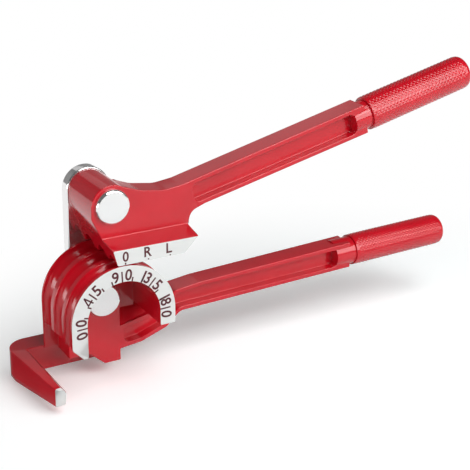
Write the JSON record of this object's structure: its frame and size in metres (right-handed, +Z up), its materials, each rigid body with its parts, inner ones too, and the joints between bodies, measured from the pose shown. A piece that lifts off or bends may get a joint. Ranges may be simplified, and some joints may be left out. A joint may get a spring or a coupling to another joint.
{
  "type": "tube bender",
  "caption": "Lever-type hand tube bender: grooved half-round forming wheel with hook, grooved sliding shoe, link plate and long handles with knurled grips.",
  "frame": {"origin": "on the ground under the middle of the tool's box", "axes": "+X from the hook along the handles to the grips, +Y from the dial to the link plate, +Z up"},
  "size_m": [0.2268, 0.0454, 0.1271],
  "materials": {
    "red_paint": "gloss",
    "chrome": "polished",
    "steel": "satin"
  },
  "bodies": {
    "wheel_body": {"wheel_casting": "red_paint", "lower_handle": "red_paint"},
    "link_body": {"link_plate": "chrome", "wheel_pin": "chrome", "shoe_pin": "chrome", "wheel_pin_washer": "steel", "shoe_pin_washer": "steel", "wheel_pin_ring": "steel", "shoe_pin_ring": "steel"},
    "shoe_body": {"shoe_casting": "red_paint", "upper_handle": "red_paint"}
  },
  "joints": [
    {"name": "wheel_hinge", "type": "hinge", "parent": "wheel_body", "child": "link_body", "pos_m": [-0.07508, -0.02275, 0.038], "axis": [0, -1, 0], "range_deg": [-22, 90]},
    {"name": "shoe_hinge", "type": "hinge", "parent": "link_body", "child": "shoe_body", "pos_m": [-0.07508, -0.02275, 0.0848], "axis": [0, -1, 0], "range_deg": [0, 120]}
  ]
}
